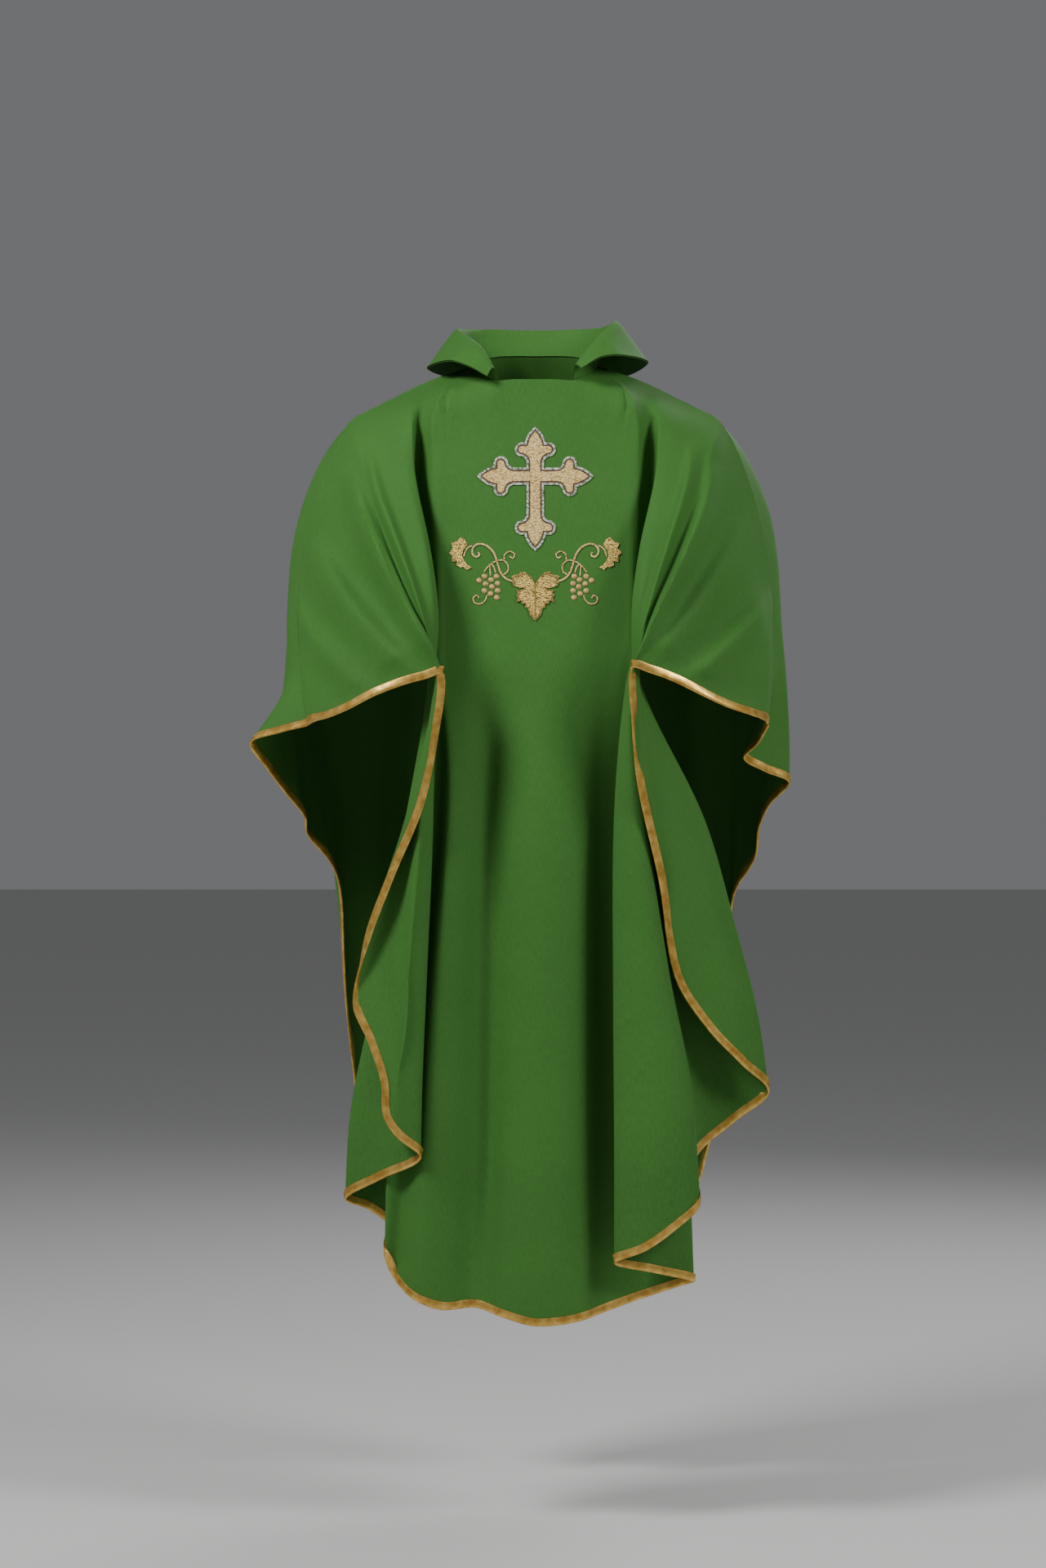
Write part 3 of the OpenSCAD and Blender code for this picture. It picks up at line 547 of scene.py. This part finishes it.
def hem_frames(grid, facing):
    """Along the hem: the edge, the way in from it, the way out of the cloth, and the way on."""
    rim = grid[:, -1]
    along = np.gradient(rim, axis=0)
    along /= np.linalg.norm(along, axis=1, keepdims=True) + 1e-12
    down, across = np.gradient(grid, axis=1), np.gradient(grid, axis=0)
    face = facing * np.cross(down, across)[:, -3:].sum(axis=1)
    padded = np.pad(face, ((2, 2), (0, 0)), mode="edge")
    out = sum(w * padded[k:k + len(face)] for k, w in enumerate((1, 2, 3, 2, 1)))
    out -= (out * along).sum(1, keepdims=True) * along
    out /= np.linalg.norm(out, axis=1, keepdims=True) + 1e-12
    return rim, facing * np.cross(out, along), out, along


def new_piece(name, points, faces):
    """A piece with these points and faces, all of them turned outwards."""
    mesh = bpy.data.meshes.new(name)
    mesh.from_pydata(points, [], faces)
    piece = bpy.data.objects.new(name, mesh)
    bpy.context.scene.collection.objects.link(piece)
    bpy.context.view_layer.objects.active = piece
    piece.select_set(True)
    bpy.ops.object.mode_set(mode="EDIT")
    bpy.ops.mesh.select_all(action="SELECT")
    bpy.ops.mesh.normals_make_consistent(inside=False)
    bpy.ops.object.mode_set(mode="OBJECT")
    return piece


def sweep_mesh(name, rings):
    """A closed tube through rings of points."""
    rings = np.array(rings)
    m, k = rings.shape[:2]
    faces = [[j * k + i, j * k + (i + 1) % k, (j + 1) * k + (i + 1) % k, (j + 1) * k + i]
             for j in range(m - 1) for i in range(k)]
    faces += [list(range(k))[::-1], [(m - 1) * k + i for i in range(k)]]
    piece = new_piece(name, rings.reshape(-1, 3).tolist(), faces)
    bpy.ops.object.shade_smooth_by_angle(angle=math.radians(55))
    piece.select_set(False)
    return piece


def binding(name, grid, facing, joins):
    """The folded strip, thicker at its joins, each given by its x and whether it is at the foot."""
    rim, into, out, along = hem_frames(grid, facing)
    run = np.concatenate([[0], np.cumsum(np.linalg.norm(np.diff(rim, axis=0), axis=1))])
    lift = np.zeros(len(rim))
    for x, at_foot in joins:
        height = rim[:, 2] - rim[:, 2].min()
        near = run[np.argmin(np.abs(rim[:, 0] - x) + height * at_foot)]
        lift = np.maximum(lift, JOIN_THICK * np.exp(-((run - near) / JOIN_LONG) ** 4))
    profile = []
    for w, h in BINDING_SECTION:
        outer = 1 if h > 0.3 else (-1 if h < -1.0 else 0)
        profile.append(rim + into * w * MM + out * (h * MM) + out * (outer * lift)[:, None]
                       + into * (-0.6 * lift * (w < 0))[:, None])
    return sweep_mesh(name, np.stack(profile, axis=1))


def satin_material():
    """Gold satin: a bright metallic thread, puckered a little by the stitching. One noise gives the
    pucker relief and also paints the gold lighter where it rises and darker where it sinks: painted
    highlight and painted shade.
    """
    material, tree, shader = new_material("gold_satin")
    place = tree.nodes.new("ShaderNodeTexCoord")
    pucker_relief_and_painted_light = tree.nodes.new("ShaderNodeTexNoise")
    pucker_relief_and_painted_light.inputs["Scale"].default_value = 90
    pucker_relief_and_painted_light.inputs["Detail"].default_value = 2
    tree.links.new(place.outputs["Object"], pucker_relief_and_painted_light.inputs["Vector"])
    # Painted highlight and shade: a lit gold where the pucker relief rises and a shaded gold where
    # it sinks.
    shades = tree.nodes.new("ShaderNodeValToRGB")
    shades.color_ramp.elements[0].position = 0.35
    shades.color_ramp.elements[0].color = (0.52, 0.29, 0.05, 1)
    shades.color_ramp.elements[1].position = 0.68
    shades.color_ramp.elements[1].color = (0.80, 0.52, 0.13, 1)
    tree.links.new(pucker_relief_and_painted_light.outputs[0], shades.inputs[0])
    tree.links.new(shades.outputs[0], shader.inputs["Base Color"])
    bump = tree.nodes.new("ShaderNodeBump")
    bump.inputs["Strength"].default_value = 0.4
    bump.inputs["Distance"].default_value = 0.001
    tree.links.new(pucker_relief_and_painted_light.outputs[0], bump.inputs["Height"])
    tree.links.new(bump.outputs[0], shader.inputs["Normal"])
    shader.inputs["Metallic"].default_value = 0.7
    shader.inputs["Roughness"].default_value = 0.3
    return material


gold_satin = satin_material()
front_joins = [(-0.12, True), (-0.285, False), (0.292, False)]
front_binding = binding("front_gold_binding", front_grid, 1, front_joins)
back_binding = binding("back_gold_binding", back_grid, -1, [(0.05, True)])
for piece, node in ((front_binding, "front_hem_binding"), (back_binding, "back_hem_binding")):
    piece.data.materials.append(gold_satin)
    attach(piece, "root")
    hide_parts(node)

# ---- Binding stitches ----
# A row of machine stitches in gold thread that goes through both faces of the binding and the cloth
# between them, 1.6 mm from its inner edge. Each stitch is 3 mm long, with 1 mm to the next.
STITCH_EVERY = 4 * MM
STITCH_IN = (BINDING_WIDTH - 1.6) * MM
STITCH_UP = 1.1 * MM
STITCH_SECTIONS = ((-1.5, 0.15, -0.1), (-0.8, 0.35, 0.35), (0.8, 0.35, 0.35), (1.5, 0.15, -0.1))


def stitches(name, grid, facing):
    """Small rounded bars of thread, one for each stitch, on the face of the binding."""
    rim, into, out, along = hem_frames(grid, facing)
    run = np.concatenate([[0], np.cumsum(np.linalg.norm(np.diff(rim, axis=0), axis=1))])
    at = np.arange(STITCH_EVERY, run[-1] - STITCH_EVERY, STITCH_EVERY)
    line = [np.stack([np.interp(at, run, a[:, k]) for k in range(3)], axis=1)
            for a in (rim + into * STITCH_IN + out * STITCH_UP, along, into, out)]
    points, faces = [], []
    for p, a, i, o in zip(*line):
        first = len(points)
        for s, w, h in STITCH_SECTIONS:
            for side, up in ((-1, -0.15), (0, h), (1, -0.15)):
                points.append(p + a * s * MM + i * side * w * MM + o * up * MM)
        for k in range(3):
            for j in range(3):
                q = first + 3 * k
                faces.append([q + j, q + (j + 1) % 3, q + 3 + (j + 1) % 3, q + 3 + j])
        faces += [[first + 2, first + 1, first], [first + 9, first + 10, first + 11]]
    piece = new_piece(name, [list(p) for p in points], faces)
    piece.select_set(False)
    return piece


def thread_material(name, dark, light, metallic, roughness, grain, relief):
    """Embroidery thread: short bright and dark flecks where the twisted strands catch the light."""
    material, tree, shader = new_material(name)
    place = tree.nodes.new("ShaderNodeTexCoord")
    flecks = tree.nodes.new("ShaderNodeTexVoronoi")
    flecks.inputs["Scale"].default_value = grain
    tree.links.new(place.outputs["Object"], flecks.inputs["Vector"])
    shades = tree.nodes.new("ShaderNodeValToRGB")
    shades.color_ramp.elements[0].position = 0.25
    shades.color_ramp.elements[0].color = (*light, 1)
    shades.color_ramp.elements[1].position = 0.75
    shades.color_ramp.elements[1].color = (*dark, 1)
    tree.links.new(flecks.outputs["Distance"], shades.inputs[0])
    tree.links.new(shades.outputs[0], shader.inputs["Base Color"])
    bump = tree.nodes.new("ShaderNodeBump")
    bump.invert = True
    bump.inputs["Strength"].default_value = relief
    bump.inputs["Distance"].default_value = 0.0006
    tree.links.new(flecks.outputs["Distance"], bump.inputs["Height"])
    tree.links.new(bump.outputs[0], shader.inputs["Normal"])
    shader.inputs["Metallic"].default_value = metallic
    shader.inputs["Roughness"].default_value = roughness
    return material


gold_thread = thread_material("gold_thread", (0.36, 0.20, 0.05), (0.84, 0.62, 0.30),
                              0.35, 0.42, 900, 0.8)
front_stitches = stitches("front_binding_stitches", front_grid, 1)
back_stitches = stitches("back_binding_stitches", back_grid, -1)
for piece, node in ((front_stitches, "front_binding_stitching"),
                    (back_stitches, "back_binding_stitching")):
    piece.data.materials.append(gold_thread)
    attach(piece, "root")
    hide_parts(node)

# ---- Shoulder seams ----
# The two panels are sewn together along the shoulders and the tops of the arms. The overlocked
# allowance lies folded under the ridge, on the inside.


def seam_allowance(name, side):
    """A flat rippled strip that lies under the seam, nearly from the neck to the seam's end."""
    rings = []
    for t in np.linspace(0.5, 7.4, 110):
        low = np.array(on_seam(t, side))
        ahead, back = np.array(on_seam(t + 0.15, side)), np.array(on_seam(t - 0.15, side))
        along = (ahead - back) / np.linalg.norm(ahead - back)
        under = np.array([-along[2] * side, 0, along[0] * side])
        under = -under if under[2] > 0 else under
        under = -under if under[0] * side > 0 and abs(under[0]) > abs(under[2]) else under
        ripple = 0.5 * math.sin(t * 31)
        ring = []
        for a in np.linspace(0, 2 * math.pi, 10, endpoint=False):
            sideways = np.array([0, 4.2 * math.cos(a) + ripple, 0])
            ring.append(low + under * (5.4 + 1.0 * math.sin(a)) + sideways)
        rings.append(np.array(ring) * MM)
    return sweep_mesh(name, rings)


seam_thread = cloth_material("overlocked_edge", (0.025, 0.10, 0.014), (0.085, 0.27, 0.05),
                             0.0016, 0.8, 0.1, 0.9)
for side, name, node in ((-1, "left_seam_allowance", "left_shoulder_seam"),
                         (1, "right_seam_allowance", "right_shoulder_seam")):
    allowance = seam_allowance(name, side)
    allowance.data.materials.append(seam_thread)
    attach(allowance, "root")
    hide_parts(node)

# ---- Collar ----
# Two layers of the same cloth with a white interlining between them. The collar stands on the
# neckline, rolls over about 55 mm up and falls outwards, and its two ends open at the front.
COLLAR_FOOT = [(-50, -79, -27), (-64, -64, -19), (-74, -40, -11), (-80, 0, 0), (-68, 34, 10),
               (-48, 57, 16), (-24, 68, 18), (0, 70, 18), (24, 68, 18), (48, 57, 16),
               (68, 34, 10), (80, 0, 0), (74, -40, -11), (64, -64, -19), (50, -79, -27)]
COLLAR_ROLL = [(-54, -88, -14), (-62, -80, 2), (-74, -62, 20), (-100, 0, 44), (-92, 50, 52),
               (-66, 74, 54), (-34, 84, 54), (0, 86, 54), (34, 84, 54), (68, 74, 55),
               (95, 50, 56), (104, 0, 56), (80, -58, 28), (62, -80, 4), (51, -88, -12)]
COLLAR_EDGE = [(-62, -94, -24), (-84, -94, -12), (-108, -80, -3), (-139, 4, -3), (-126, 68, -5),
               (-96, 103, -8), (-48, 119, -9), (0, 122, -9), (48, 119, -9), (96, 104, -8),
               (128, 70, -4), (146, 4, 4), (112, -78, 4), (84, -94, 0), (60, -95, -14)]


def collar_grid():
    """The collar's cloth, from its foot on the neckline over the roll and down to its edge."""
    lines = []
    for foot, roll, edge in zip(COLLAR_FOOT, COLLAR_ROLL, COLLAR_EDGE):
        foot, roll, edge = (np.array(p, float) for p in (foot, roll, edge))
        foot = foot + np.array([0, 0, 0.6])
        lines.append(even_steps([foot, foot * 0.35 + roll * 0.65, roll,
                                 roll * 0.72 + edge * 0.28 + np.array([0, 0, 3.0]), edge], 26))
    return thread_through(np.array(lines), 8) * MM


collar_cloth = collar_grid()
collar_out = grid_normals(collar_cloth, 1)
COLLAR_T = 0.0006
white_interlining = cloth_material("white_interlining", (0.62, 0.62, 0.60), (0.80, 0.80, 0.78),
                                   0.002, 0.9, 0, 0.4)
whole, trimmed = (slice(None), slice(None)), (slice(2, -2), slice(1, -2))
for name, node, depth, cut, material, slot in (
        ("collar_outer_cloth", "upper_collar", 0, whole, green_cloth, "green_cloth"),
        ("collar_white_interlining", "collar_interfacing", 0.9 * MM, trimmed, white_interlining,
         "white_interlining"),
        ("collar_under_cloth", "under_collar", 1.8 * MM, whole, green_cloth, "green_cloth")):
    spread = collar_cloth - collar_out * depth
    layer = thicken(cloth_mesh(name, spread[cut], 1), COLLAR_T)
    layer.data.materials.append(material)
    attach(layer, "root")
    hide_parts(node)

# ---- Neck facing and embroidery backing ----
# The facing is a shaped strip of the same cloth that finishes the front neck edge on the inside.
# The backing is stiff white interlining behind the stitches, trimmed close round the work.
FACING_UNDER = 1.6 * MM
first = ACROSS * (len(left_columns) + 1)
last = first + ACROSS * (len(middle_columns) - 3)
facing_grid = front_grid[first:last + 1, :6]
facing_grid = facing_grid - grid_normals(facing_grid, 1) * FACING_UNDER
neck_facing = thicken(cloth_mesh("neck_facing_strip", facing_grid, 1), COLLAR_T)
neck_facing.data.materials.append(green_cloth)
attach(neck_facing, "root")
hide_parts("neck_facing")

# The backing, in mm: narrow behind the cross, it widens below to take in the vine
BACKING_MIDDLE = 214
BACKING_TALL = 262
BACKING_UNDER = 1.7 * MM
CROSS_HALF = 72
VINE_HALF = 112
WIDENS_FROM = 228
WIDENS_TO = 244
bpy.ops.mesh.primitive_grid_add(x_subdivisions=60, y_subdivisions=60, size=1)
backing = bpy.context.active_object
backing.name = "embroidery_interlining"
spread = np.zeros(len(backing.data.vertices) * 3)
backing.data.vertices.foreach_get("co", spread)
spread = spread.reshape(-1, 3)
drop = BACKING_MIDDLE - spread[:, 1] * BACKING_TALL
half = np.interp(drop, (WIDENS_FROM, WIDENS_TO), (CROSS_HALF, VINE_HALF))
half -= 4 * np.sin(drop * 0.2) * (drop < WIDENS_FROM)
flat = np.array([chest(s * 2 * h, d) for s, h, d in zip(spread[:, 0], half, drop)]) * MM
flat += np.array([0, math.cos(CHEST_SLOPE), -math.sin(CHEST_SLOPE)]) * BACKING_UNDER
backing.data.vertices.foreach_set("co", flat.ravel())
backing.data.update()
thicken(backing, COLLAR_T)
backing.data.materials.append(white_interlining)
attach(backing, "root")
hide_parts("embroidery_backing")

# ---- Embroidery ----
# Machine embroidery through cloth and backing: a budded cross in gold fill, with a dark outline and
# a silver border, above a vine of scrolled stems, leaves and grapes in gold thread.
gold_fill = thread_material("gold_lame", (0.20, 0.12, 0.015), (0.82, 0.60, 0.17),
                            0.45, 0.36, 700, 1.0)
cross_fill = thread_material("cross_gold", (0.42, 0.25, 0.06), (0.92, 0.70, 0.33),
                             0.3, 0.45, 560, 1.0)
brown_thread = thread_material("brown_thread", (0.035, 0.012, 0.006), (0.16, 0.07, 0.03),
                               0.1, 0.5, 900, 0.8)
silver_thread = thread_material("silver_thread", (0.10, 0.16, 0.07), (0.78, 0.78, 0.68),
                                0.3, 0.4, 420, 1.0)
vein_thread = thread_material("vein_thread", (0.10, 0.055, 0.008), (0.40, 0.26, 0.06),
                              0.4, 0.4, 900, 0.8)
dressing = {"cross_gold_fill": cross_fill, "cross_dark_line": brown_thread,
            "cross_silver_border": silver_thread, "vine_leaf": gold_fill,
            "vine_leaf_veins": vein_thread}
for side in ("left", "right"):
    for part in ("scroll_stem", "tendrils", "grapes"):
        dressing[side + "_" + part] = gold_thread
    dressing[side + "_side_leaf"] = gold_fill
for node, material in dressing.items():
    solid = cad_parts[node]
    solid.data.materials.clear()
    solid.data.materials.append(material)

# ---- Room, light and camera ----
# A pale plain floor where the wearer would stand, and soft light from both sides of the front, the
# left one stronger, with a third lamp behind.
FLOOR = -1.49
bpy.ops.mesh.primitive_plane_add(size=60, location=(0, 0, FLOOR))
floor = bpy.context.active_object
floor.name = "floor"
bpy.ops.object.transform_apply(location=True, rotation=True, scale=True)
floor_paint, tree, shader = new_material("pale_floor")
shader.inputs["Base Color"].default_value = (0.62, 0.62, 0.61, 1)
shader.inputs["Roughness"].default_value = 0.9
floor.data.materials.append(floor_paint)


def soft_light(name, place, aim, size, power):
    """A rectangular lamp at place that shines towards aim."""
    lamp = bpy.data.lights.new(name, "AREA")
    lamp.shape = "RECTANGLE"
    lamp.size, lamp.size_y = size
    lamp.energy = power
    holder = bpy.data.objects.new(name, lamp)
    bpy.context.scene.collection.objects.link(holder)
    way = np.array(aim, float) - np.array(place, float)
    holder.location = place
    tilt = math.acos(-way[2] / np.linalg.norm(way))
    holder.rotation_euler = (tilt, 0, math.atan2(-way[0], way[1]))


soft_light("key_light", (-1.8, -1.6, 1.4), (0, 0, -0.4), (0.8, 0.8), 88)
soft_light("side_light", (2.2, -1.6, 1.0), (0, 0, -0.4), (0.8, 1.0), 52)
soft_light("rim_light", (1.4, 2.8, 1.4), (0, 0, -0.5), (1.6, 1.6), 45)
world = bpy.data.worlds.new("studio")
bpy.context.scene.world = world
world.use_nodes = True
world.node_tree.nodes["Background"].inputs["Color"].default_value = (0.80, 0.81, 0.83, 1)
world.node_tree.nodes["Background"].inputs["Strength"].default_value = 0.2

# The view takes in 2.00256 m from top to bottom, 5 m away, which is where the chest is
VIEW_TALL = 2.00256
VIEW_AWAY = 5.0
SENSOR_TALL = 36
eye = bpy.data.cameras.new("camera")
eye.sensor_fit = "VERTICAL"
eye.sensor_height = SENSOR_TALL
eye.lens = SENSOR_TALL * VIEW_AWAY / VIEW_TALL
camera = bpy.data.objects.new("camera", eye)
camera.location = (-0.0156, -5.1, -0.545)
camera.rotation_euler = (math.radians(90), 0, 0)
bpy.context.scene.collection.objects.link(camera)
bpy.context.scene.camera = camera
